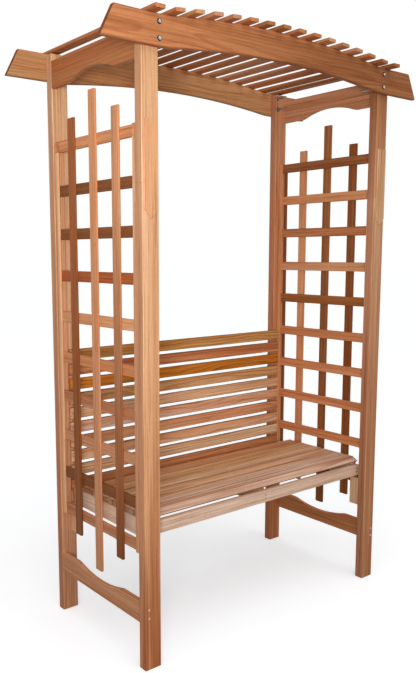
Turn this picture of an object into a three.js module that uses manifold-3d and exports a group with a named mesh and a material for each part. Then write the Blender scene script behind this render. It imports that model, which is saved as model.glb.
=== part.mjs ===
// A garden arbour seat in sawn softwood boards. Four posts carry two arched beams and a slatted
// roof, a trellis closes each side, and a slatted bench with a slatted back stands between them.
// Millimetres, Z up. The front faces -Y, and the origin is on the ground under the middle.
import * as THREE from "three";
import { mergeVertices } from "three/addons/utils/BufferGeometryUtils.js";
import Module from "manifold-3d";

const wasm = await Module();
wasm.setup();

// Frame, measured over the outer faces of the posts
const frameWidth = 1200;
const frameDepth = 577;
const postWide = 64;
const postDeep = 36;
const postBelowRoof = 7;

// Splice that joins the two lengths of each front post
const spliceBelowBeam = 397;
const plateAbove = 190;
const plateBelow = 81;
const platePoint = 27;
const plateWide = 50;
const plateThick = 5;
const plateInset = 4;

// Arched beams, bolted across the front and the back
const beamUnderside = 1987;
const beamHeight = 95;
const beamThick = 19;
const beamOverhangOnTop = 106;
const beamOverhangBelow = 155;
const beamFlatOverPost = 60;
const beamArchRise = 34;
const beamArchEase = 400;

// Roof slats, laid across both beams
const roofSlats = 16;
const roofEndInset = 29.25;
const roofWide = 38;
const roofThick = 12;
const roofOverhang = 40;

// Side rails, between the posts at the top and near the ground
const railThick = 18;
const railCurveHalf = 150;
const railCurveEase = 50;
const topRailBelowPostTop = 25;
const topRailHeight = 95;
const topRailRise = 28;
const lowRailUnderside = 159;
const lowRailHeight = 75;
const lowRailDip = 22;

// Trellis, with level slats inside and upright slats outside
const trellisSetback = 3;
const uprightThick = 10;
const uprightWide = 38;
const uprightToStile = 78;
const uprightAboveRail = 17;
const uprightBelowRail = 43;
const middleExtra = 82;
const shortLift = 9;
const crossSag = [0, 6, 9, 9, 13, 11, 11, 11, 6, 0];
const crossSlats = 10;
const crossThick = 11;
const crossWide = 38;
const crossBelowTop = 59;
const crossAboveBottom = 63.5;
const stileWide = 20;
const stileBase = 7.5;
const stileInner = 15;
const housing = 0.5;

// Bench
const seatTop = 514;
const seatSlats = 6;
const seatToBack = 82;
const seatSlatThick = 19;
const seatSlatGap = 2.5;
const noseDrop = 13;
const noseRun = 30;
const noseRound = 5;
const benchEndGap = 1;
const bearerHeight = 64;
const bearerThick = 19;
const apronHeight = 46;
const apronThick = 19;
const apronBelowSlats = 9;
const apronAhead = 8;
const apronToBack = 0.5;
const apronEndGap = 4;
const blockHeight = 116;
const blockWide = 45;

// Slatted back, screwed to the front of the rear posts
const backSlats = 10;
const backSlatWide = 43;
const backSlatThick = 12;
const backPitch = 55.6;
const backAboveBlocks = 45.6;

// Clearance between pieces that meet on a turned or cut face
const clearance = 0.3;

// Steps that the sawn curves are divided into
const archSteps = 60;
const railSteps = 50;
const noseSteps = 6;
const bulgeSteps = 8;

// Places that follow from the dimensions above
const postOuterX = frameWidth / 2;
const postInnerX = postOuterX - postWide;
const postOuterY = frameDepth / 2;
const postInnerY = postOuterY - postDeep;
const beamTopEnd = beamUnderside + beamHeight;
const postTop = beamTopEnd - postBelowRoof;
const spliceJoint = beamUnderside - spliceBelowBeam;
const beamHalfOnTop = postOuterX + beamOverhangOnTop;
const beamHalfBelow = postOuterX + beamOverhangBelow;
const beamArchHalf = postOuterX - beamFlatOverPost;
const topRailUnderside = postTop - topRailBelowPostTop - topRailHeight;
const lowRailTop = lowRailUnderside + lowRailHeight;
const uprightOuterX = postOuterX - trellisSetback;
const uprightInnerX = uprightOuterX - uprightThick;
const crossInnerX = uprightInnerX - crossThick;
const stileInnerX = crossInnerX - stileInner;
const uprightPitch = postInnerY - stileWide - uprightToStile - uprightWide / 2;
const uprightBottom = lowRailTop + uprightAboveRail + middleExtra;
const uprightTop = topRailUnderside - uprightBelowRail - middleExtra;
const crossTop = uprightTop - crossBelowTop;
const crossLowest = uprightBottom + crossAboveBottom;
const crossPitch = (crossTop - crossLowest - crossWide) / (crossSlats - 1);
const benchEndX = stileInnerX - benchEndGap;
const seatUnderside = seatTop - seatSlatThick;
const bearerBottom = seatUnderside - bearerHeight;
const bearerInnerX = benchEndX - bearerThick;
const backFrontY = postInnerY - backSlatThick;
const backLowest = bearerBottom + backAboveBlocks;
const apronOuterY = backFrontY - apronToBack;
const apronInnerY = apronOuterY - apronThick;
const apronTop = seatUnderside - apronBelowSlats;
const seatFront = apronOuterY - apronAhead;
const seatPitch = (seatFront + backFrontY - seatToBack + seatSlatGap) / seatSlats;
const seatSlatWide = seatPitch - seatSlatGap;

const model = new THREE.Group();

function finish(colour, roughness) {
  return new THREE.MeshStandardMaterial({ color: colour, roughness, metalness: 0 });
}

const postFinish = finish(0xd0a077, 0.6);
const beamFinish = finish(0xb97a4c, 0.55);
const roofFinish = finish(0xb27149, 0.6);
const railFinish = finish(0xb98661, 0.6);
const trellisFinish = finish(0xb57352, 0.6);
const seatFinish = finish(0xd2a57a, 0.55);
const benchFrameFinish = finish(0xdcb795, 0.6);
const backFinish = finish(0xcf9a68, 0.55);

function add(name, geometry, material) {
  const mesh = new THREE.Mesh(geometry, material);
  mesh.name = name;
  model.add(mesh);
  return mesh;
}

// A plain board between two opposite corners, given in any order
function boardBetween(cornerA, cornerB) {
  const a = new THREE.Vector3(...cornerA);
  const b = new THREE.Vector3(...cornerB);
  const size = new THREE.Vector3().subVectors(b, a);
  const geometry = new THREE.BoxGeometry(Math.abs(size.x), Math.abs(size.y), Math.abs(size.z));
  const middle = a.add(b).multiplyScalar(0.5);
  return geometry.translate(middle.x, middle.y, middle.z);
}

// A board cut to an outline that is drawn on Y and Z, from fromX towards +X
function cutAlongX(outline, fromX, thick) {
  const geometry = new THREE.ExtrudeGeometry(new THREE.Shape(outline), {
    depth: thick,
    bevelEnabled: false,
  });
  const turn = new THREE.Matrix4().makeBasis(
    new THREE.Vector3(0, 1, 0),
    new THREE.Vector3(0, 0, 1),
    new THREE.Vector3(1, 0, 0),
  );
  return geometry.applyMatrix4(turn).translate(fromX, 0, 0);
}

// A board cut to an outline that is drawn on X and Z, from backY towards -Y
function cutAlongY(outline, backY, thick) {
  const geometry = new THREE.ExtrudeGeometry(new THREE.Shape(outline), {
    depth: thick,
    bevelEnabled: false,
  });
  const turn = new THREE.Matrix4().makeBasis(
    new THREE.Vector3(1, 0, 0),
    new THREE.Vector3(0, 0, 1),
    new THREE.Vector3(0, -1, 0),
  );
  return geometry.applyMatrix4(turn).translate(0, backY, 0);
}

// Height of a sawn curve at a distance from its middle: one long arc, eased into the straight
// edge by a short arc at each end, both arcs turning through the same angle
function curveHeight(distance, half, rise, ease) {
  const away = Math.abs(distance);
  if (away >= half) return 0;
  const turn = 2 * Math.atan(rise / half);
  const radius = half / Math.sin(turn) - ease;
  const longHalf = radius * Math.sin(turn);
  if (away <= longHalf) return rise - radius + Math.sqrt(radius ** 2 - away ** 2);
  return ease - Math.sqrt(ease ** 2 - (half - away) ** 2);
}

// Evenly spaced stations from one place to another, both included
function stations(from, to, steps) {
  return Array.from({ length: steps + 1 }, (_, i) => from + ((to - from) * i) / steps);
}

function beamRise(x) {
  return curveHeight(x, beamArchHalf, beamArchRise, beamArchEase);
}

function addPosts() {
  for (const [side, s] of [["left", -1], ["right", 1]]) {
    const lower = boardBetween(
      [s * postInnerX, -postOuterY, 0],
      [s * postOuterX, -postInnerY, spliceJoint],
    );
    const upper = boardBetween(
      [s * postInnerX, -postOuterY, spliceJoint],
      [s * postOuterX, -postInnerY, postTop],
    );
    const rear = boardBetween(
      [s * postInnerX, postInnerY, 0],
      [s * postOuterX, postOuterY, postTop],
    );
    add(`front_post_${side}_lower`, lower, postFinish);
    add(`front_post_${side}_upper`, upper, postFinish);
    add(`rear_post_${side}`, rear, postFinish);
  }
}

// A pointed plate over each splice, nearer the post's right edge on both sides
function addSplicePlates() {
  for (const [side, postRightX] of [["left", -postInnerX], ["right", postOuterX]]) {
    const rightX = postRightX - plateInset;
    const leftX = rightX - plateWide;
    const shoulder = spliceJoint - plateBelow;
    const outline = [
      new THREE.Vector2(leftX, spliceJoint + plateAbove),
      new THREE.Vector2(leftX, shoulder),
      new THREE.Vector2((leftX + rightX) / 2, shoulder - platePoint),
      new THREE.Vector2(rightX, shoulder),
      new THREE.Vector2(rightX, spliceJoint + plateAbove),
    ];
    add(`splice_plate_${side}`, cutAlongY(outline, -postOuterY, plateThick), postFinish);
  }
}

// Both edges of a beam follow one curve, and its ends slope in towards the top
function addBeams() {
  const top = stations(beamHalfOnTop, -beamHalfOnTop, archSteps).map(
    (x) => new THREE.Vector2(x, beamTopEnd + beamRise(x)),
  );
  const underside = stations(-beamHalfBelow, beamHalfBelow, archSteps).map(
    (x) => new THREE.Vector2(x, beamUnderside + beamRise(x)),
  );
  const outline = [...underside, ...top];
  add("front_beam", cutAlongY(outline, -postOuterY, beamThick), beamFinish);
  add("rear_beam", cutAlongY(outline, postOuterY + beamThick, beamThick), beamFinish);
}

// Each roof slat tips with the curve that it lies on
function addRoofSlats() {
  const reach = postOuterY + beamThick + roofOverhang;
  const half = roofWide / 2;
  const places = stations(roofEndInset - postOuterX, postOuterX - roofEndInset, roofSlats - 1);
  places.forEach((x, i) => {
    const low = beamRise(x - half);
    const high = beamRise(x + half);
    const bulge = stations(-1, 1, bulgeSteps).map(
      (t) => beamRise(x + t * half) - (low + high) / 2 - (t * (high - low)) / 2,
    );
    const tilt = Math.atan2(high - low, roofWide);
    const rest = beamTopEnd + (low + high) / 2 + Math.max(...bulge) + clearance;
    const slat = add(
      `roof_slat_${String(i + 1).padStart(2, "0")}`,
      boardBetween([-half, -reach, 0], [half, reach, roofThick]),
      roofFinish,
    );
    slat.position.set(x, 0, rest);
    slat.rotation.y = -tilt;
  });
}

function addSideRails() {
  const span = stations(-postInnerY, postInnerY, railSteps);
  const topRail = [
    ...span.map(
      (y) => new THREE.Vector2(
        y,
        topRailUnderside + curveHeight(y, railCurveHalf, topRailRise, railCurveEase),
      ),
    ),
    new THREE.Vector2(postInnerY, topRailUnderside + topRailHeight),
    new THREE.Vector2(-postInnerY, topRailUnderside + topRailHeight),
  ];
  const lowRail = [
    new THREE.Vector2(-postInnerY, lowRailUnderside),
    new THREE.Vector2(postInnerY, lowRailUnderside),
    ...span.toReversed().map(
      (y) => new THREE.Vector2(
        y,
        lowRailTop - curveHeight(y, railCurveHalf, lowRailDip, railCurveEase),
      ),
    ),
  ];
  for (const [side, fromX] of [["left", -postOuterX], ["right", postOuterX - railThick]]) {
    add(`top_side_rail_${side}`, cutAlongX(topRail, fromX, railThick), railFinish);
    add(`bottom_side_rail_${side}`, cutAlongX(lowRail, fromX, railThick), railFinish);
  }
}

function solidOf(geometry) {
  const bare = geometry.clone();
  bare.deleteAttribute("normal");
  bare.deleteAttribute("uv");
  const merged = mergeVertices(bare);
  const mesh = new wasm.Mesh({
    numProp: 3,
    vertProperties: merged.attributes.position.array,
    triVerts: new Uint32Array(merged.index.array),
  });
  return new wasm.Manifold(mesh);
}

function fused(geometries) {
  const whole = geometries.map(solidOf).reduce((sum, solid) => sum.add(solid));
  const { vertProperties, triVerts } = whole.getMesh();
  const indexed = new THREE.BufferGeometry();
  indexed.setAttribute("position", new THREE.BufferAttribute(vertProperties, 3));
  indexed.setIndex(new THREE.BufferAttribute(triVerts, 1));
  const faceted = indexed.toNonIndexed();
  faceted.computeVertexNormals();
  return faceted;
}

// A trellis panel: ten level slats housed in a rebated stile at each post, and three uprights
// nailed over them, the middle one longer at both ends. Both sides hold the same panel, the
// right one turned head over heels, so its unevenly spaced slats sag upwards there
function addTrellises() {
  const stileOpenY = postInnerY - stileBase;
  for (const [side, s] of [["left", -1], ["right", 1]]) {
    const pieces = [];
    for (let i = 0; i < crossSlats; i += 1) {
      const sag = s < 0 ? -crossSag[i] : crossSag[crossSlats - 1 - i];
      const z = crossLowest + i * crossPitch + sag;
      const end = stileOpenY + housing;
      pieces.push(
        boardBetween([s * crossInnerX, -end, z], [s * uprightInnerX, end, z + crossWide]),
      );
    }
    for (const end of [-1, 1]) {
      const base = boardBetween(
        [s * stileInnerX, end * stileOpenY, crossLowest],
        [s * uprightOuterX, end * postInnerY, crossTop],
      );
      const cover = boardBetween(
        [s * (uprightInnerX - housing), end * (postInnerY - stileWide), crossLowest],
        [s * uprightOuterX, end * (stileOpenY + housing), crossTop],
      );
      pieces.push(base, cover);
    }
    for (const place of [-1, 0, 1]) {
      const y = place * uprightPitch;
      const extra = place === 0 ? middleExtra : 0;
      const lift = place === 0 ? 0 : -s * shortLift;
      pieces.push(
        boardBetween(
          [s * (uprightInnerX - housing), y - uprightWide / 2, uprightBottom - extra + lift],
          [s * uprightOuterX, y + uprightWide / 2, uprightTop + extra + lift],
        ),
      );
    }
    add(`trellis_${side}`, fused(pieces), trellisFinish);
  }
}

// The front slat's top slopes down to a rounded nose, and the other slats are plain boards
function addSeatSlats() {
  const backEdgeY = seatSlatWide - seatFront;
  const noseTop = seatTop - noseDrop;
  const nose = new THREE.Shape();
  nose.moveTo(-seatFront + noseRound, seatUnderside);
  nose.lineTo(backEdgeY, seatUnderside);
  nose.lineTo(backEdgeY, seatTop);
  nose.lineTo(noseRun - seatFront, seatTop);
  nose.lineTo(noseRound - seatFront, noseTop);
  nose.quadraticCurveTo(-seatFront, (noseTop + seatUnderside) / 2, noseRound - seatFront, seatUnderside);
  const outline = nose.getPoints(noseSteps);
  outline.pop();
  add("seat_slat_1", cutAlongX(outline, -benchEndX, 2 * benchEndX), seatFinish);
  for (let i = 1; i < seatSlats; i += 1) {
    const y = i * seatPitch - seatFront;
    const slat = boardBetween(
      [-benchEndX, y, seatUnderside],
      [benchEndX, y + seatSlatWide, seatTop],
    );
    add(`seat_slat_${i + 1}`, slat, seatFinish);
  }
}

// The bearers stand on edge on blocks that are screwed to the posts, between two apron boards
function addBenchFrame() {
  for (const [side, s] of [["left", -1], ["right", 1]]) {
    const bearer = boardBetween(
      [s * bearerInnerX, -apronInnerY, bearerBottom],
      [s * benchEndX, apronInnerY, seatUnderside],
    );
    add(`seat_bearer_${side}`, bearer, benchFrameFinish);
    for (const [end, e] of [["front", -1], ["rear", 1]]) {
      const block = boardBetween(
        [s * bearerInnerX, e * (postInnerY - blockWide), bearerBottom - blockHeight],
        [s * benchEndX, e * postInnerY, bearerBottom],
      );
      add(`seat_block_${end}_${side}`, block, benchFrameFinish);
    }
  }
  const middleBearer = boardBetween(
    [-bearerThick / 2, -apronInnerY, bearerBottom],
    [bearerThick / 2, apronInnerY, seatUnderside],
  );
  add("seat_bearer_middle", middleBearer, benchFrameFinish);
  const apronEndX = benchEndX - apronEndGap;
  for (const [end, e] of [["front", -1], ["rear", 1]]) {
    const apron = boardBetween(
      [-apronEndX, e * apronOuterY, apronTop - apronHeight],
      [apronEndX, e * apronInnerY, apronTop],
    );
    add(`seat_apron_${end}`, apron, benchFrameFinish);
  }
}

function addBackSlats() {
  for (let i = 0; i < backSlats; i += 1) {
    const z = backLowest + (backSlats - 1 - i) * backPitch;
    const slat = boardBetween(
      [-benchEndX, backFrontY, z],
      [benchEndX, postInnerY, z + backSlatWide],
    );
    add(`back_slat_${String(i + 1).padStart(2, "0")}`, slat, backFinish);
  }
}

addPosts();
addSplicePlates();
addBeams();
addRoofSlats();
addSideRails();
addTrellises();
addSeatSlats();
addBenchFrame();
addBackSlats();

export default model;
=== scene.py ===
# A garden arbour seat in oiled cedar: eased boards, housed trellis slats, bolts and screws
import math
import random

import bmesh
import bpy
from mathutils import Matrix, Vector


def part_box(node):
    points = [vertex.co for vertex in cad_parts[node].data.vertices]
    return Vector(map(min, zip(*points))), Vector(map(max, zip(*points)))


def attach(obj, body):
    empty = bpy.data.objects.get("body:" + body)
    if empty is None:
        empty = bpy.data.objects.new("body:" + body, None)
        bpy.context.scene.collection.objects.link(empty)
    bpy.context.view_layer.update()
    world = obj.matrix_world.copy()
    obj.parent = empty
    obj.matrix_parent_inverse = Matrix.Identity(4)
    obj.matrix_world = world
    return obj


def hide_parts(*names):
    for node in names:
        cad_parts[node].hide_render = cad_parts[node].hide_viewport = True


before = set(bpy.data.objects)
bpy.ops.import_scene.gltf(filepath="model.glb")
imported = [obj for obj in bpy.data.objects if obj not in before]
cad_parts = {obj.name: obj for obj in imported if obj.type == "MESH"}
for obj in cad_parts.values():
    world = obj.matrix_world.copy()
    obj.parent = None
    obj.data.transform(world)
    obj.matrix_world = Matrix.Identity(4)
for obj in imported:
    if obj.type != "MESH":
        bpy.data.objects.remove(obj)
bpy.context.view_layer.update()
print("frame loaded:", len(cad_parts), "nodes")

axisX, axisY, axisZ = 0, 1, 2


# Colours of single boards, as they look in plain light
cedarTones = {
    "cream": "F0CDA6",
    "blush": "ECCAB2",
    "paleTan": "E9BB92",
    "tan": "DDA87A",
    "apricot": "E3A578",
    "coral": "E09C6C",
    "rose": "CF926C",
    "golden": "D19B5E",
    "honey": "CF9868",
    "oak": "BB8A5C",
    "amber": "BE7524",
    "ochre": "DB842C",
    "orange": "CA8456",
    "russet": "B57547",
    "rust": "B26336",
    "chestnut": "A0643C",
    "saddle": "A86A38",
    "umber": "8A5630",
    "walnut": "874A20",
}


# A hex code as linear light, by the usual screen curve
def linear(hexCode):
    shares = [int(hexCode[i:i + 2], 16) / 255 for i in (0, 2, 4)]
    return [((s + 0.055) / 1.055) ** 2.4 if s > 0.04045 else s / 12.92 for s in shares] + [1.0]


def darker(colour, share):
    return [colour[i] * s for i, s in enumerate(share)] + [1.0]


# Node helpers
def addNode(tree, kind, links, **settings):
    node = tree.nodes.new(kind)
    for key, value in settings.items():
        setattr(node, key, value)
    for key, value in links.items():
        if isinstance(value, bpy.types.NodeSocket):
            tree.links.new(value, node.inputs[key])
        else:
            node.inputs[key].default_value = value
    return node


def mathNode(tree, operation, a, b=0.0, clamp=False):
    node = addNode(tree, "ShaderNodeMath", {0: a, 1: b}, operation=operation, use_clamp=clamp)
    return node.outputs[0]


def vectorMath(tree, operation, links, output="Vector"):
    return addNode(tree, "ShaderNodeVectorMath", links, operation=operation).outputs[output]


def noiseAt(tree, place, scale, detail, roughness, output="Fac"):
    links = {"Vector": vectorMath(tree, "MULTIPLY", {0: place, 1: scale}), "Scale": 1.0}
    links["Detail"], links["Roughness"] = detail, roughness
    return addNode(tree, "ShaderNodeTexNoise", links).outputs[output]


def ramp(tree, value, low, high, toLow=0.0, toHigh=1.0):
    links = {"Value": value, "From Min": low, "From Max": high, "To Min": toLow, "To Max": toHigh}
    node = addNode(tree, "ShaderNodeMapRange", links, interpolation_type="SMOOTHSTEP")
    return node.outputs["Result"]


# Where a colour mix node has its share, its two colours and its result
mixShare, mixFirst, mixSecond, mixResult = 0, 6, 7, 2


def blend(tree, share, colourA, colourB, kind="MIX"):
    links = {mixShare: share, mixFirst: colourA, mixSecond: colourB}
    node = addNode(tree, "ShaderNodeMix", links, data_type="RGBA", blend_type=kind)
    return node.outputs[mixResult]


def newGroup(name, inputs, outputs):
    group = bpy.data.node_groups.new(name, "ShaderNodeTree")
    for label, kind in inputs:
        group.interface.new_socket(label, in_out="INPUT", socket_type=kind)
    for label, kind in outputs:
        group.interface.new_socket(label, in_out="OUTPUT", socket_type=kind)
    given, made = group.nodes.new("NodeGroupInput"), group.nodes.new("NodeGroupOutput")
    return group, given.outputs, made.inputs


def newMaterial(name):
    material = bpy.data.materials.new(name)
    material.use_nodes = True
    return material, material.node_tree, material.node_tree.nodes["Principled BSDF"]


# Sawn cedar. A noise has its waves a metre across, through and along a board, its detail and its
# roughness. Ramps say from, to and what these become, and tints multiply what is under them
grain = {
    "driftNoise": ((9.0, 9.0, 1.7), 2.0, 0.5),
    "driftMiddle": (0.5, 0.5, 0.5),
    "roughNoise": ((60.0, 60.0, 4.0), 2.0, 0.5),
    "broadNoise": ((26.0, 26.0, 0.7), 3.0, 0.6),
    "fineNoise": ((190.0, 190.0, 3.0), 3.0, 0.65),
    "fibreNoise": ((900.0, 900.0, 16.0), 2.0, 0.6),
    "poreNoise": ((1500.0, 1500.0, 45.0), 1.0, 0.5),
    "ringWobble": 0.6,
    "ringGrowRamp": (0.35, 0.88),
    "ringStopRamp": (0.9, 1.0, 1.0, 0.0),
    "yearRamp": (0.0, 1.0, 0.35, 1.0),
    "broadRamp": (0.4, 0.6),
    "poreRamp": (0.6, 0.72),
    "paleRamp": (0.5, 0.3, 0.0, 1.0),
    "darkRamp": (0.5, 0.72, 0.0, 0.9),
    "fibreRamp": (0.45, 0.8, 0.0, 0.55),
    "wearRamp": (0.35, 0.6, 0.4, 1.0),
    "glossRamp": (0.3, 1.4, 0.55, 0.85),
    "ringTint": (0.58, 0.42, 0.32, 1.0),
    "paleTint": (1.12, 1.16, 1.20, 1.0),
    "darkTint": (0.66, 0.50, 0.40, 1.0),
    "fibreTint": (0.70, 0.58, 0.50, 1.0),
    "poreTint": (0.50, 0.38, 0.30, 1.0),
    "poreShare": 0.5,
    "fibreHeight": 0.6,
    "ringHeight": 0.4,
    "poreDepth": 0.5,
    "bumpStrength": 0.35,
    "bumpDistance": 0.0006,
    "specular": 0.12,
}

# What the group takes from each board, and the mesh layer that holds it
boardLayers = {"Place": "grainPlace", "Tone": "tone", "Heart": "heart", "Marks": "marks"}


# The place is in metres, with the heart of the tree at across 0 and through 0, so that faces,
# edges and ends all cut the same growth rings.
# The marks are eased edges in red, end grain in green and narrow sides in blue; the colours laid
# on eased edges and narrow sides are painted light and shade
def cedarGroup():
    floatKind, vectorKind, colourKind = "NodeSocketFloat", "NodeSocketVector", "NodeSocketColor"
    inputs = [("Place", vectorKind)]
    inputs += [(label, colourKind) for label in ("Tone", "Heart", "Marks")]
    inputs += [(label, floatKind) for label in ("Ring Gap", "Wander")]
    inputs += [(label, floatKind) for label in ("Ring Strength", "Band Strength")]
    inputs += [(label, colourKind) for label in ("End Tint", "Side Tint", "Edge Tint")]
    outputs = [("Colour", colourKind), ("Roughness", floatKind), ("Height", floatKind)]
    tree, given, made = newGroup("sawnCedar", inputs, outputs)
    place = given["Place"]

    def noise(name, output="Fac"):
        return noiseAt(tree, place, *grain[f"{name}Noise"], output)

    def ramped(name, value):
        return ramp(tree, value, *grain[f"{name}Ramp"])

    def times(a, b, clamp=False):
        return mathNode(tree, "MULTIPLY", a, b, clamp)

    def tinted(colour, tint, share):
        return blend(tree, share, colour, blend(tree, 1.0, colour, tint, "MULTIPLY"))

    drift = {0: noise("drift", "Color"), 1: grain["driftMiddle"]}
    drift = vectorMath(tree, "SUBTRACT", drift)
    swing = vectorMath(tree, "SCALE", {0: drift, "Scale": given["Wander"]})
    bent = vectorMath(tree, "ADD", {0: place, 1: swing})
    flat = vectorMath(tree, "MULTIPLY", {0: bent, 1: (1.0, 1.0, 0.0)})
    radius = vectorMath(tree, "LENGTH", {0: flat}, "Value")
    rough = noise("rough")
    count = mathNode(tree, "DIVIDE", radius, given["Ring Gap"])
    count = mathNode(tree, "ADD", count, times(rough, grain["ringWobble"]))
    phase = mathNode(tree, "FRACT", count)
    late = times(ramped("ringGrow", phase), ramped("ringStop", phase))
    yearNumber = mathNode(tree, "FLOOR", count)
    year = addNode(tree, "ShaderNodeTexWhiteNoise", {"W": yearNumber}, noise_dimensions="1D")
    rings = times(late, ramped("year", year.outputs["Value"]))

    bands = times(ramped("broad", noise("broad")), given["Band Strength"], True)
    fine = noise("fine")
    fibres = noise("fibre")
    pores = ramped("pore", noise("pore"))

    tint = blend(tree, bands, given["Tone"], given["Heart"])
    tint = tinted(tint, grain["ringTint"], times(rings, given["Ring Strength"], True))
    tint = tinted(tint, grain["paleTint"], ramped("pale", fine))
    tint = tinted(tint, grain["darkTint"], ramped("dark", fine))
    tint = tinted(tint, grain["fibreTint"], ramped("fibre", fibres))
    tint = tinted(tint, grain["poreTint"], times(pores, grain["poreShare"]))

    marks = addNode(tree, "ShaderNodeSeparateColor", {"Color": given["Marks"]}).outputs
    tint = tinted(tint, given["End Tint"], marks["Green"])
    # Painted shade on the narrow sides of most boards, painted light on those of rails and
    # trellis members
    tint = tinted(tint, given["Side Tint"], marks["Blue"])
    # Painted highlight on the eased edges of posts and rails and painted shade on those of other
    # boards, in patches
    tint = tinted(tint, given["Edge Tint"], times(marks["Red"], ramped("wear", rough)))

    gloss = ramped("gloss", mathNode(tree, "ADD", fine, marks["Green"]))
    fibreHeight = times(fibres, grain["fibreHeight"])
    height = mathNode(tree, "ADD", fibreHeight, times(rings, grain["ringHeight"]))
    height = mathNode(tree, "SUBTRACT", height, times(pores, grain["poreDepth"]))
    for label, value in {"Colour": tint, "Roughness": gloss, "Height": height}.items():
        tree.links.new(value, made[label])
    return tree


sawnCedar = cedarGroup()


def cedarMaterial(name, values):
    material, tree, shader = newMaterial(name)
    cedar = tree.nodes.new("ShaderNodeGroup")
    cedar.node_tree = sawnCedar
    for label, value in values.items():
        cedar.inputs[label].default_value = value
    for label, layer in boardLayers.items():
        source = addNode(tree, "ShaderNodeAttribute", {}, attribute_name=layer).outputs
        tree.links.new(source["Vector" if label == "Place" else "Color"], cedar.inputs[label])
    tree.links.new(cedar.outputs["Colour"], shader.inputs["Base Color"])
    tree.links.new(cedar.outputs["Roughness"], shader.inputs["Roughness"])
    links = {"Height": cedar.outputs["Height"], "Strength": grain["bumpStrength"]}
    links["Distance"] = grain["bumpDistance"]
    bump = addNode(tree, "ShaderNodeBump", links)
    tree.links.new(bump.outputs["Normal"], shader.inputs["Normal"])
    shader.inputs["Specular IOR Level"].default_value = grain["specular"]
    return material


# The ring numbers are gap and wander in metres, and how strongly rings and broad bands show.
# The tints are those of sawn ends, and the painted light and shade of narrow sides and eased
# edges
def cedarFinish(ringNumbers, ends, sides, edges):
    values = dict(zip(("Ring Gap", "Wander", "Ring Strength", "Band Strength"), ringNumbers))
    for label, tint in {"End Tint": ends, "Side Tint": sides, "Edge Tint": edges}.items():
        values[label] = tint + (1.0,)
    return values


# Edge tints: pale is a painted highlight, dim and dark are painted shade
pale, dim, dark = (1.12, 1.1, 1.08), (0.8, 0.74, 0.7), (0.5, 0.4, 0.34)
cedarFinishes = {
    "post_wood": cedarFinish(
        (0.0060, 0.015, 0.40, 0.85), (0.6, 0.5, 0.45), (0.84, 0.80, 0.84), pale
    ),
    "beam_wood": cedarFinish(
        (0.0085, 0.045, 0.45, 0.60), (0.42, 0.32, 0.26), (0.8, 0.72, 0.66), dim
    ),
    "roof_wood": cedarFinish(
        (0.0070, 0.025, 0.40, 0.60), (1.15, 1.22, 1.35), (0.85, 0.8, 0.75), dim
    ),
    "rail_wood": cedarFinish(
        (0.0075, 0.030, 0.32, 0.60), (0.6, 0.5, 0.45), (1.1, 1.15, 1.1), pale
    ),
    "trellis_wood": cedarFinish(
        (0.0055, 0.015, 0.40, 0.80), (0.7, 0.6, 0.55), (1.1, 1.04, 1.0), (0.74, 0.66, 0.6)
    ),
    "seat_wood": cedarFinish(
        (0.0105, 0.030, 0.80, 0.80), (0.75, 0.65, 0.6), (0.4, 0.28, 0.22), dark
    ),
    "bench_frame_wood": cedarFinish(
        (0.0080, 0.025, 0.22, 0.30), (0.7, 0.6, 0.55), (0.9, 0.85, 0.8), dim
    ),
    "back_wood": cedarFinish(
        (0.0075, 0.050, 0.80, 0.80), (0.85, 0.75, 0.7), (0.5, 0.38, 0.3), dark
    ),
}
cedarMaterials = {slot: cedarMaterial(slot, values) for slot, values in cedarFinishes.items()}


steelLook = {
    "smearNoise": ((420.0, 420.0, 420.0), 3.0, 0.6),
    "smearRange": (0.3, 0.7),
    "roughnessShares": (0.7, 1.5),
    "dullRamp": (0.45, 0.75, 0.0, 0.35),
    "dullShare": (0.6, 0.6, 0.6),
}


# Steel, darkened towards the rim of each head by its own attribute: painted dark reflection and
# shade on bolt heads, painted shade at the foot of nuts and in screw recesses
def steelMaterial(name, colour, paintedDarkColour, roughness):
    material, tree, shader = newMaterial(name)
    place = tree.nodes.new("ShaderNodeTexCoord").outputs["Object"]
    smear = noiseAt(tree, place, *steelLook["smearNoise"])
    ends = [roughness * share for share in steelLook["roughnessShares"]]
    tree.links.new(ramp(tree, smear, *steelLook["smearRange"], *ends), shader.inputs["Roughness"])
    rim = addNode(tree, "ShaderNodeAttribute", {}, attribute_name="rim").outputs["Fac"]
    dullness = ramp(tree, smear, *steelLook["dullRamp"])
    dull = blend(tree, dullness, colour + (1.0,), darker(colour, steelLook["dullShare"]))
    tree.links.new(blend(tree, rim, dull, paintedDarkColour + (1.0,)), shader.inputs["Base Color"])
    shader.inputs["Metallic"].default_value = 1.0
    return material


steelMaterials = {
    "bolt": steelMaterial("polishedSteel", (0.62, 0.62, 0.60), (0.015, 0.014, 0.012), 0.12),
    "nut": steelMaterial("dullSteel", (0.30, 0.27, 0.24), (0.06, 0.05, 0.045), 0.35),
    "screw": steelMaterial("zincScrew", (0.34, 0.25, 0.17), (0.05, 0.035, 0.025), 0.4),
    "postScrew": steelMaterial("yellowZincScrew", (0.70, 0.54, 0.40), (0.16, 0.10, 0.07), 0.4),
}


# How boards are cleaned, eased and marked, with lengths in metres. A face belongs to an end or a
# narrow side when its normal points that way by more than the facing. The heart and start
# numbers say where in the tree a board is cut, where its look doesn't
boardMaking = {
    "mergeWithin": 0.00001,
    "flatRadians": 0.0008,
    "sharpDegrees": 20,
    "endFacing": 0.7,
    "narrowFacing": 0.8,
    "longSegments": 3,
    "endSegments": 2,
    "endRound": 0.0008,
    "heartShade": (0.80, 0.68, 0.60),
    "heartAcross": 0.08,
    "heartThrough": (0.03, 0.09),
    "startWithin": 4.0,
    "lookParts": 5,
}


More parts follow.
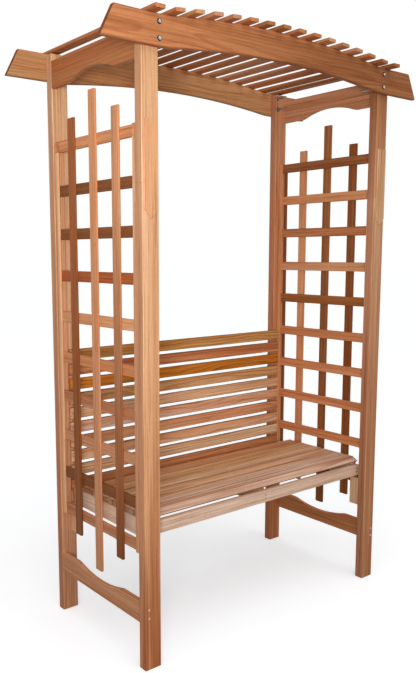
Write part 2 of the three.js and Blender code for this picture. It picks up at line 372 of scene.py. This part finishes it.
def nodeBoard(nodeName):
    board = bmesh.new()
    board.from_mesh(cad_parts[nodeName].data)
    bmesh.ops.remove_doubles(board, verts=board.verts, dist=boardMaking["mergeWithin"])
    bmesh.ops.dissolve_limit(
        board, angle_limit=boardMaking["flatRadians"], verts=board.verts, edges=board.edges
    )
    return board


def boxBoard(corner, opposite):
    board = bmesh.new()
    bmesh.ops.create_cube(board, size=1.0)
    lowest = Vector(map(min, corner, opposite))
    highest = Vector(map(max, corner, opposite))
    bmesh.ops.scale(board, vec=highest - lowest, verts=board.verts)
    bmesh.ops.translate(board, vec=(lowest + highest) / 2, verts=board.verts)
    return board


def boardBox(board):
    low = Vector([min(vert.co[axis] for vert in board.verts) for axis in range(3)])
    high = Vector([max(vert.co[axis] for vert in board.verts) for axis in range(3)])
    return low, high


def eased(parts, edges, offset, segments):
    return bmesh.ops.bevel(
        parts, geom=edges, offset=offset, segments=segments, profile=0.5, affect="EDGES",
        material=-1, clamp_overlap=True,
    )["faces"]


def toMesh(board, name, material):
    mesh = bpy.data.meshes.new(name)
    board.to_mesh(mesh)
    board.free()
    mesh.materials.append(material)
    piece = bpy.data.objects.new(name, mesh)
    bpy.context.scene.collection.objects.link(piece)
    return piece


# Rounds the long edges, eases the sawn ends a little, and writes each corner's place in the
# tree, its tones, and where it is an eased edge, end grain or a narrow side. A look is the tone,
# the heart tone, the way from the tree's heart to the board's middle in metres, and both tones
# of the low end. The two lengths of a front post draw the same start, so their grain runs on
def cedarBoard(board, name, kind, along, wide, look, nodes):
    dice = random.Random(name.replace("Upper", "").replace("Lower", ""))
    low, high = boardBox(board)
    centre = (low + high) / 2
    through = axisX + axisY + axisZ - along - wide

    def sharpEdges():
        sharp = math.radians(boardMaking["sharpDegrees"])
        return [edge for edge in board.edges if edge.calc_face_angle(0.0) > sharp]

    def facesEnd(face):
        return abs(face.normal[along]) > boardMaking["endFacing"]

    def atEnd(edge):
        return any(facesEnd(face) for face in edge.link_faces)

    def longEdges():
        return [edge for edge in sharpEdges() if not atEnd(edge)]

    def endEdges():
        return [edge for edge in sharpEdges() if atEnd(edge)]

    # Marks the eased faces, which later get the painted edge highlight and shade
    worn = board.faces.layers.int.new("worn")
    longCut = (longEdges, kind["round"], boardMaking["longSegments"])
    endCut = (endEdges, kind.get("endRound", boardMaking["endRound"]), boardMaking["endSegments"])
    for edges, easing, segments in (longCut, endCut):
        for face in eased(board, edges(), easing, segments):
            face[worn] = 1

    across, deep = boardMaking["heartAcross"], boardMaking["heartThrough"]
    blanks = [None] * (boardMaking["lookParts"] - len(look))
    tone, heart, pith, lowTone, lowHeart = [*look, *blanks]
    toneColour = linear(cedarTones[tone])
    shade = darker(toneColour, boardMaking["heartShade"])
    heartColour = linear(cedarTones[heart]) if heart else shade
    lowToneColour = linear(cedarTones[lowTone]) if lowTone else toneColour
    lowHeartColour = linear(cedarTones[lowHeart]) if lowHeart else heartColour
    pith = pith or (dice.uniform(-across, across), dice.choice((-1, 1)) * dice.uniform(*deep))
    start = dice.uniform(-boardMaking["startWithin"], boardMaking["startWithin"])

    grainPlace = board.verts.layers.float_vector.new(boardLayers["Place"])
    toneLayer = board.verts.layers.float_color.new(boardLayers["Tone"])
    heartLayer = board.verts.layers.float_color.new(boardLayers["Heart"])
    marks = board.loops.layers.float_color.new(boardLayers["Marks"])
    for vert in board.verts:
        offset = vert.co - centre
        atLowEnd = vert.co[along] < centre[along]
        fromHeart = (offset[wide] + pith[0], offset[through] + pith[1])
        vert[grainPlace] = (*fromHeart, vert.co[along] + start)
        vert[toneLayer] = lowToneColour if atLowEnd else toneColour
        vert[heartLayer] = lowHeartColour if atLowEnd else heartColour
    for face in board.faces:
        face.smooth = True
        narrow = abs(face.normal[wide]) > boardMaking["narrowFacing"]
        for loop in face.loops:
            loop[marks] = (float(face[worn]), float(facesEnd(face)), float(narrow), 1.0)
    board.faces.layers.int.remove(worn)
    piece = toMesh(board, name, cedarMaterials[kind["slot"]])
    weighted = piece.modifiers.new("evenShading", "WEIGHTED_NORMAL")
    weighted.keep_sharp = True
    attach(piece, "root")
    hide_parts(*nodes)


def pieceName(nodeName):
    words = nodeName.split("_")
    return words[0] + "".join(word.capitalize() for word in words[1:])


def addBoards(kind):
    for nodeName, look in kind["boards"].items():
        cedarBoard(
            nodeBoard(nodeName), pieceName(nodeName), kind, kind["along"], kind["wide"], look,
            [nodeName],
        )


posts = {
    "slot": "post_wood",
    "along": axisZ,
    "wide": axisX,
    "round": 0.0030,
    "boards": {
        "front_post_left_lower": ("paleTan", "tan", (0.045, 0.03), "coral", "rust"),
        "front_post_left_upper": ("tan", "tan", (0.045, 0.03), "paleTan", "tan"),
        "front_post_right_lower": ("paleTan", "rose", (-0.05, 0.03), "rose", "russet"),
        "front_post_right_upper": ("russet", "chestnut", (-0.05, 0.03), "tan", "rose"),
        "rear_post_left": ("paleTan", "tan", None, "rose", "orange"),
        "rear_post_right": ("coral", "rose", None, "orange", "russet"),
    },
}
splicePlates = {
    "slot": "post_wood",
    "along": axisZ,
    "wide": axisX,
    "round": 0.0018,
    "boards": {
        "splice_plate_left": ("tan", "apricot", (0.05, 0.02)),
        "splice_plate_right": ("paleTan", "tan", (-0.04, 0.02)),
    },
}
beams = {
    "slot": "beam_wood",
    "along": axisX,
    "wide": axisZ,
    "round": 0.0045,
    "boards": {
        "front_beam": ("russet", "chestnut", (0.02, 0.06), "orange", "russet"),
        "rear_beam": ("honey", "oak", (-0.03, 0.05), "oak", "orange"),
    },
}
roofSlatCount = 16
roofTones = ["orange", "rose", "russet", "orange", "rose", "russet", "honey", "orange"]
roofToneStep = 3
roofSlats = {
    "slot": "roof_wood",
    "along": axisY,
    "wide": axisX,
    "round": 0.0020,
    "boards": {
        f"roof_slat_{i + 1:02d}": (roofTones[i * roofToneStep % len(roofTones)],)
        for i in range(roofSlatCount)
    },
}
sideRails = {
    "slot": "rail_wood",
    "along": axisY,
    "wide": axisZ,
    "round": 0.0028,
    "boards": {
        "top_side_rail_left": ("russet", "rust"),
        "top_side_rail_right": ("rose", "russet"),
        "bottom_side_rail_left": ("rose", "russet"),
        "bottom_side_rail_right": ("orange", "russet"),
    },
}
seatSlats = {
    "slot": "seat_wood",
    "along": axisX,
    "wide": axisY,
    "round": 0.0022,
    "endRound": 0.0035,
    "boards": {
        "seat_slat_1": ("blush", "rose", (0.03, -0.06)),
        "seat_slat_2": ("blush", "tan"),
        "seat_slat_3": ("paleTan", "rose"),
        "seat_slat_4": ("cream", "tan"),
        "seat_slat_5": ("paleTan", "golden"),
        "seat_slat_6": ("tan", "orange"),
    },
}
benchFrame = {
    "slot": "bench_frame_wood",
    "along": axisX,
    "wide": axisZ,
    "round": 0.0025,
    "boards": {"seat_apron_front": ("blush", "paleTan"), "seat_apron_rear": ("rose", "russet")},
}
bearers = {
    "slot": "bench_frame_wood",
    "along": axisY,
    "wide": axisZ,
    "round": 0.0025,
    "boards": {
        "seat_bearer_left": ("blush", "cream"),
        "seat_bearer_middle": ("apricot", "rose"),
        "seat_bearer_right": ("blush", "rose"),
    },
}
seatBlocks = {
    "slot": "bench_frame_wood",
    "along": axisZ,
    "wide": axisY,
    "round": 0.0025,
    "boards": {
        f"seat_block_{end}_{side}": ("paleTan", "rose")
        for end in ("front", "rear")
        for side in ("left", "right")
    },
}
backSlats = {
    "slot": "back_wood",
    "along": axisX,
    "wide": axisZ,
    "round": 0.0018,
    "boards": {
        "back_slat_01": ("golden", "amber"),
        "back_slat_02": ("coral", "rust"),
        "back_slat_03": ("ochre", "amber"),
        "back_slat_04": ("tan", "golden", (0.01, 0.045)),
        "back_slat_05": ("paleTan", "tan"),
        "back_slat_06": ("blush", "coral"),
        "back_slat_07": ("apricot", "orange", (0.005, 0.04)),
        "back_slat_08": ("paleTan", "apricot"),
        "back_slat_09": ("cream", "tan"),
        "back_slat_10": ("orange", "russet"),
    },
}
boardKinds = [posts, splicePlates, beams, roofSlats, sideRails]
boardKinds += [seatSlats, benchFrame, bearers, seatBlocks, backSlats]
for kind in boardKinds:
    addBoards(kind)
print("boards eased and grained")


# Trellis: level slats inside, uprights outside, and a rebated stile against each post.
# Level slats run from the top down, uprights from the rear to the front. The right panel is
# the left one turned head over heels, so the uneven places of its slats turn over too
trellis = {
    "slot": "trellis_wood",
    "round": 0.0018,
    "levelThick": 0.011,
    "levelHigh": 0.038,
    "levelTop": 1.771,
    "levelBottom": 0.3965,
    "levelSag": [0.0, 0.006, 0.011, 0.011, 0.011, 0.013, 0.009, 0.009, 0.006, 0.0],
    "uprightThick": 0.010,
    "uprightWide": 0.038,
    "uprightPitch": 0.1355,
    "uprightTop": 1.830,
    "uprightBottom": 0.333,
    "middleExtra": 0.082,
    "shortLift": 0.009,
    "stileBase": 0.0075,
    "stileLeg": 0.020,
    "leftLevels": [
        "coral", "umber", "umber", "rust", "apricot",
        "coral", "rose", "rose", "umber", "rose",
    ],
    "leftUprights": [
        ("rust", "chestnut", None, "umber", "walnut"),
        ("coral", "apricot", None, "rose", "rose"),
        ("apricot", "rose", None, "walnut", "walnut"),
    ],
    "leftStiles": {
        "Rear": {"base": ("apricot", "rose"), "leg": ("paleTan", "rose")},
        "Front": {"base": ("paleTan", "rose"), "leg": ("paleTan", "rose")},
    },
    "rightLevels": [
        "chestnut", "coral", "orange", "apricot", "saddle",
        "coral", "coral", "coral", "coral", "rust",
    ],
    "rightUprights": [
        ("coral", "rose"),
        ("russet", "umber", None, "umber", "walnut"),
        ("chestnut", "walnut"),
    ],
    "rightStiles": {
        # The rear stile's leg takes dark umber and walnut tones as painted shade
        "Rear": {"base": ("coral", "rose"), "leg": ("umber", "walnut")},
        "Front": {"base": ("orange", "russet"), "leg": ("orange", "russet")},
    },
}


def addTrellis(side):
    low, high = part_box(f"trellis_{side}")
    outX, inX = (low[0], high[0]) if side == "left" else (high[0], low[0])
    inward = 1 if side == "left" else -1
    faceX = outX + inward * trellis["uprightThick"]
    backX = faceX + inward * trellis["levelThick"]
    endY = high[1]
    legY = endY - trellis["stileLeg"]
    openY = endY - trellis["stileBase"]
    replaced = [f"trellis_{side}"]
    levels = trellis[f"{side}Levels"]
    turnedOver = [-sag for sag in reversed(trellis["levelSag"])]
    sags = trellis["levelSag"] if side == "left" else turnedOver
    span = trellis["levelTop"] - trellis["levelHigh"] - trellis["levelBottom"]
    pitch = span / (len(levels) - 1)

    def addMember(name, corner, opposite, along, wide, look):
        board = boxBoard(corner, opposite)
        cedarBoard(board, f"{side}Trellis{name}", trellis, along, wide, look, replaced)

    for i, tone in enumerate(levels):
        top = trellis["levelTop"] - i * pitch - sags[i]
        corner = (backX, -openY, top - trellis["levelHigh"])
        addMember(f"Level{i + 1}", corner, (faceX, openY, top), axisY, axisZ, (tone,))
    for i, look in enumerate(trellis[f"{side}Uprights"]):
        middleY = (1 - i) * trellis["uprightPitch"]
        extra = trellis["middleExtra"] if i == 1 else 0.0
        lift = 0.0 if i == 1 else inward * trellis["shortLift"]
        half = trellis["uprightWide"] / 2
        corner = (outX, middleY - half, trellis["uprightBottom"] - extra + lift)
        opposite = (faceX, middleY + half, trellis["uprightTop"] + extra + lift)
        addMember(f"Upright{i + 1}", corner, opposite, axisZ, axisY, look)
    # Each stile's leg ends in a short block, level with the top slat and of its colour
    head, foot = trellis["levelTop"], trellis["levelBottom"]
    blockFoot = head - trellis["levelHigh"]
    for end, label in ((1, "Rear"), (-1, "Front")):
        look = trellis[f"{side}Stiles"][label]
        base = ((inX, end * openY, foot), (outX, end * endY, head))
        leg = ((faceX, end * legY, foot), (outX, end * openY, blockFoot))
        block = ((faceX, end * legY, blockFoot), (outX, end * openY, head))
        addMember(f"StileBase{label}", *base, axisZ, axisX, look["base"])
        addMember(f"StileLeg{label}", *leg, axisZ, axisY, look["leg"])
        addMember(f"StileBlock{label}", *block, axisY, axisZ, (levels[0],))


for side in ("left", "right"):
    addTrellis(side)
print("trellises made")


# Fasteners
def turned(parts, direction, spot):
    turn = Vector((0, 0, 1)).rotation_difference(Vector(direction)).to_matrix()
    bmesh.ops.rotate(parts, cent=(0, 0, 0), matrix=turn, verts=parts.verts)
    bmesh.ops.translate(parts, vec=spot, verts=parts.verts)


def joined(whole, part):
    loose = bpy.data.meshes.new("loose")
    part.to_mesh(loose)
    part.free()
    whole.from_mesh(loose)
    bpy.data.meshes.remove(loose)


def addDisc(parts, radius, low, high, segments, ease):
    made = bmesh.ops.create_cone(
        parts, cap_ends=True, segments=segments, radius1=radius, radius2=radius, depth=high - low
    )
    bmesh.ops.translate(parts, vec=(0, 0, (low + high) / 2), verts=made["verts"])
    edges = {edge for vert in made["verts"] for edge in vert.link_edges}
    eased(parts, [edge for edge in edges if isLevel(edge)], ease, bolts["easeSegments"])


def isLevel(edge):
    first, second = edge.verts
    return abs(first.co.z - second.co.z) < boardMaking["mergeWithin"]


# The shares say between which shares of a head's height its painted dark reflection and shade
# fade
bolts = {
    "headRadius": 0.0085,
    "headHeight": 0.0048,
    "headAround": 28,
    "headUp": 16,
    "rimShares": (0.60, 0.98),
    "washerRadius": 0.0100,
    "washerThick": 0.0015,
    "washerSides": 32,
    "washerEase": 0.0003,
    "nutRadius": 0.0085,
    "nutHeight": 0.0060,
    "nutSides": 6,
    "nutEase": 0.0008,
    "nutRimFrom": -0.006,
    "threadRadius": 0.0040,
    "threadOut": 0.0400,
    "threadSides": 20,
    "threadEase": 0.0008,
    "easeSegments": 2,
    "rows": 2,
    "fromPostInside": 0.009,
    "aboveUnderside": 0.024,
    "apart": 0.048,
}


def boltHead():
    parts = bmesh.new()
    bmesh.ops.create_uvsphere(
        parts, u_segments=bolts["headAround"], v_segments=bolts["headUp"],
        radius=bolts["headRadius"],
    )
    everything = parts.verts[:] + parts.edges[:] + parts.faces[:]
    cut = bmesh.ops.bisect_plane(
        parts, geom=everything, plane_co=(0, 0, 0), plane_no=(0, 0, 1), clear_inner=True
    )
    rim = [piece for piece in cut["geom_cut"] if isinstance(piece, bmesh.types.BMEdge)]
    bmesh.ops.contextual_create(parts, geom=rim)
    flatness = bolts["headHeight"] / bolts["headRadius"]
    bmesh.ops.scale(parts, vec=(1, 1, flatness), verts=parts.verts)
    bmesh.ops.recalc_face_normals(parts, faces=parts.faces)
    # The low part of the dome is darkened: painted dark reflection and painted shade by the wood
    markPaintedDark(parts, *[bolts["headHeight"] * share for share in bolts["rimShares"]])
    return parts


def boltTail():
    parts = bmesh.new()
    washerTop = bolts["washerThick"]
    nutTop = washerTop + bolts["nutHeight"]
    threadTop = nutTop + bolts["threadOut"]
    heights = {
        "washer": (0.0, washerTop),
        "nut": (washerTop, nutTop),
        "thread": (nutTop, threadTop),
    }
    for disc, (low, high) in heights.items():
        radius, sides, ease = [bolts[f"{disc}{size}"] for size in ("Radius", "Sides", "Ease")]
        addDisc(parts, radius, low, high, sides, ease)
    # Painted shade towards the washer and the foot of the nut
    markPaintedDark(parts, bolts["nutRimFrom"], nutTop)
    return parts


# Writes a painted darkening, full at low and none at high
def markPaintedDark(parts, low, high):
    rim = parts.verts.layers.float.new("rim")
    for vert in parts.verts:
        vert[rim] = min(1.0, max(0.0, (high - vert.co.z) / (high - low)))


# Faces with more than four corners are the flat tops
def steelPiece(parts, name, finish):
    for face in parts.faces:
        face.smooth = len(face.verts) <= 4
    piece = toMesh(parts, name, steelMaterials[finish])
    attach(piece, "root")


def addBolts():
    for end, label in ((-1, "front"), (1, "rear")):
        beamLow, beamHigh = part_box(f"{label}_beam")
        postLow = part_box("rear_post_right")[0]
        faceY = end * max(abs(beamLow[1]), abs(beamHigh[1]))
        nutY = end * postLow[1]
        for side, across in (("Left", -1), ("Right", 1)):
            boltX = across * (postLow[0] + bolts["fromPostInside"])
            for row in range(bolts["rows"]):
                boltZ = beamLow[2] + bolts["aboveUnderside"] + row * bolts["apart"]
                head, tail = boltHead(), boltTail()
                turned(head, (0, end, 0), (boltX, faceY, boltZ))
                turned(tail, (0, -end, 0), (boltX, nutY, boltZ))
                steelPiece(head, f"{label}Bolt{side}{row + 1}", "bolt")
                steelPiece(tail, f"{label}Nut{side}{row + 1}", "nut")


addBolts()

# Shares are of a screw's radius, but the apron's is of the places of the bearers behind it.
# The other places are in metres from the middles of the boards
screws = {
    "radius": 0.0032,
    "postRadius": 0.0042,
    "proud": 0.0006,
    "recess": 0.0012,
    "sides": 16,
    "topShare": 0.92,
    "rimShare": 0.45,
    "slopeShare": 0.12,
    "backInward": 0.018,
    "apronRises": (-0.0065, 0.0065),
    "apronShare": 0.985,
    "railInward": 0.006,
    "railRises": (-0.0155, 0.0148),
}


def screwHead(radius):
    parts = bmesh.new()
    bmesh.ops.create_cone(
        parts, cap_ends=True, segments=screws["sides"], radius1=radius,
        radius2=radius * screws["topShare"], depth=screws["proud"],
    )
    bmesh.ops.translate(parts, vec=(0, 0, screws["proud"] / 2), verts=parts.verts)
    top = max(parts.faces, key=lambda face: face.calc_center_median().z)
    slope = radius * screws["slopeShare"]
    bmesh.ops.inset_region(parts, faces=[top], thickness=radius * screws["rimShare"])
    bmesh.ops.inset_region(parts, faces=[top], thickness=slope, depth=-screws["recess"])
    # Painted shade in the recess and round the foot of the head
    markPaintedDark(parts, -screws["recess"], screws["proud"])
    return parts


def addScrews(name, spots, direction, radius=screws["radius"], finish="screw"):
    cluster = bmesh.new()
    for spot in spots:
        head = screwHead(radius)
        turned(head, direction, spot)
        joined(cluster, head)
    steelPiece(cluster, name, finish)


def middleOf(nodeName, axis):
    low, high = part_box(nodeName)
    return (low[axis] + high[axis]) / 2


def addAllScrews():
    bearerXs = [middleOf(f"seat_bearer_{place}", axisX) for place in ("left", "middle", "right")]
    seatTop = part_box("seat_slat_2")[1][2]
    slatYs = [middleOf(nodeName, axisY) for nodeName in seatSlats["boards"]]
    addScrews("seatScrews", [(x, y, seatTop) for x in bearerXs for y in slatYs], (0, 0, 1))

    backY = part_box("back_slat_01")[0][1]
    postX = middleOf("rear_post_right", axisX) - screws["backInward"]
    backZs = [middleOf(nodeName, axisZ) for nodeName in backSlats["boards"]]
    addScrews("backScrews", [(s * postX, backY, z) for s in (-1, 1) for z in backZs], (0, -1, 0))

    rail = "bottom_side_rail_right"
    railX = middleOf(rail, axisX) - screws["railInward"]
    railZs = [middleOf(rail, axisZ) + rise for rise in screws["railRises"]]
    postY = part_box("rear_post_right")[1][1]
    for end, label in ((-1, "front"), (1, "rear")):
        apron = f"seat_apron_{label}"
        apronLow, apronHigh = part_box(apron)
        apronY = apronLow[1] if end < 0 else apronHigh[1]
        apronZs = [middleOf(apron, axisZ) + rise for rise in screws["apronRises"]]
        spots = [(x * screws["apronShare"], apronY, z) for x in bearerXs for z in apronZs]
        addScrews(f"{label}ApronScrews", spots, (0, end, 0))
        spots = [(s * railX, end * postY, z) for s in (-1, 1) for z in railZs]
        addScrews(f"{label}PostScrews", spots, (0, end, 0), screws["postRadius"], "postScrew")


addAllScrews()
print("fasteners placed")


# Studio: a white floor that keeps the shadow, a round lamp at the front left, a wide soft sky
# and a weak fill from the left. Turns, rises and spreads are in degrees
studio = {
    "floorHalf": 60.0,
    "floorSeen": 0.95,
    "floorBounce": 0.30,
    "floorLift": 0.41,
    "floorGlow": (0.985, 1.015, 1.045, 1.0),
    "ambient": 0.30,
    "keyPower": 21.8,
    "keySize": 0.9,
    "keySpread": 90,
    "keyPlace": (-2.45, -2.6, 1.35),
    "keyAim": (-0.3, 0.0, 1.8),
    "skyStrength": 1.05,
    "skySpread": 80,
    "skyTurn": -10,
    "skyRise": 62,
    "fillStrength": 0.2,
    "fillSpread": 90,
    "fillTurn": -80,
    "fillRise": 20,
    "lampAway": 6,
}


def addFloor():
    board = bmesh.new()
    bmesh.ops.create_grid(board, x_segments=1, y_segments=1, size=studio["floorHalf"])
    material, tree, shader = newMaterial("studioFloor")
    seen = seenRays(tree)
    shade = ramp(tree, seen, 0.0, 1.0, studio["floorBounce"], studio["floorSeen"])
    tree.links.new(shade, shader.inputs["Base Color"])
    shader.inputs["Roughness"].default_value = 1.0
    shader.inputs["Specular IOR Level"].default_value = 0.0
    shader.inputs["Emission Color"].default_value = studio["floorGlow"]
    lift = mathNode(tree, "MULTIPLY", seen, studio["floorLift"])
    tree.links.new(lift, shader.inputs["Emission Strength"])
    toMesh(board, "studioFloor", material)


def seenRays(tree):
    rays = tree.nodes.new("ShaderNodeLightPath").outputs
    mirrored = mathNode(tree, "MAXIMUM", rays["Is Glossy Ray"], rays["Is Transmission Ray"])
    return mathNode(tree, "MAXIMUM", rays["Is Camera Ray"], mirrored)


def addWorld():
    world = bpy.data.worlds.new("studioWorld")
    bpy.context.scene.world = world
    world.use_nodes = True
    tree = world.node_tree
    strength = ramp(tree, seenRays(tree), 0.0, 1.0, studio["ambient"], 1.0)
    background = tree.nodes["Background"]
    background.inputs["Color"].default_value = (1.0, 1.0, 1.0, 1.0)
    tree.links.new(strength, background.inputs["Strength"])


def addLamp(name, kind, towards, place):
    lamp = bpy.data.lights.new(name, kind)
    holder = bpy.data.objects.new(name, lamp)
    bpy.context.scene.collection.objects.link(holder)
    holder.location = place
    holder.rotation_euler = towards.to_track_quat("Z", "Y").to_euler()
    return lamp


def addKeyLamp():
    place = Vector(studio["keyPlace"])
    lamp = addLamp("key", "AREA", place - Vector(studio["keyAim"]), place)
    lamp.shape = "DISK"
    lamp.energy = studio["keyPower"]
    lamp.size = studio["keySize"]
    lamp.spread = math.radians(studio["keySpread"])


# A soft lamp's turn is measured round the object from straight ahead of it, to the right
def addSoftLamp(name):
    turn, rise = math.radians(studio[f"{name}Turn"]), math.radians(studio[f"{name}Rise"])
    level = math.cos(rise)
    towards = Vector((math.sin(turn) * level, -math.cos(turn) * level, math.sin(rise)))
    lamp = addLamp(name, "SUN", towards, towards * studio["lampAway"])
    lamp.energy = studio[f"{name}Strength"]
    lamp.angle = math.radians(studio[f"{name}Spread"])


addFloor()
addWorld()
addKeyLamp()
addSoftLamp("sky")
addSoftLamp("fill")

# The camera stands to the front left at chest height, and looks slightly down. Its angles are
# in degrees, and its lens and sensor in millimetres
view = {
    "place": (-1.9281, -2.1257, 1.3768),
    "yaw": 37.680,
    "pitch": -7.674,
    "roll": -0.237,
    "lens": 39.165,
    "sensor": 36.0,
    "shiftX": 0.0618,
    "shiftY": 0.0225,
}


def addCamera():
    camera = bpy.data.cameras.new("photoView")
    camera.lens = view["lens"]
    camera.sensor_width = view["sensor"]
    camera.sensor_fit = "AUTO"
    camera.shift_x = view["shiftX"]
    camera.shift_y = view["shiftY"]
    holder = bpy.data.objects.new("photoView", camera)
    bpy.context.scene.collection.objects.link(holder)
    turn = Matrix.Rotation(-math.radians(view["yaw"]), 3, "Z")
    tilt = Matrix.Rotation(math.radians(90 + view["pitch"]), 3, "X")
    lean = Matrix.Rotation(math.radians(view["roll"]), 3, "Z")
    holder.location = view["place"]
    holder.rotation_euler = (turn @ tilt @ lean).to_euler()
    bpy.context.scene.camera = holder


addCamera()
bpy.context.scene.view_settings.view_transform = "Standard"
print("studio and camera set")
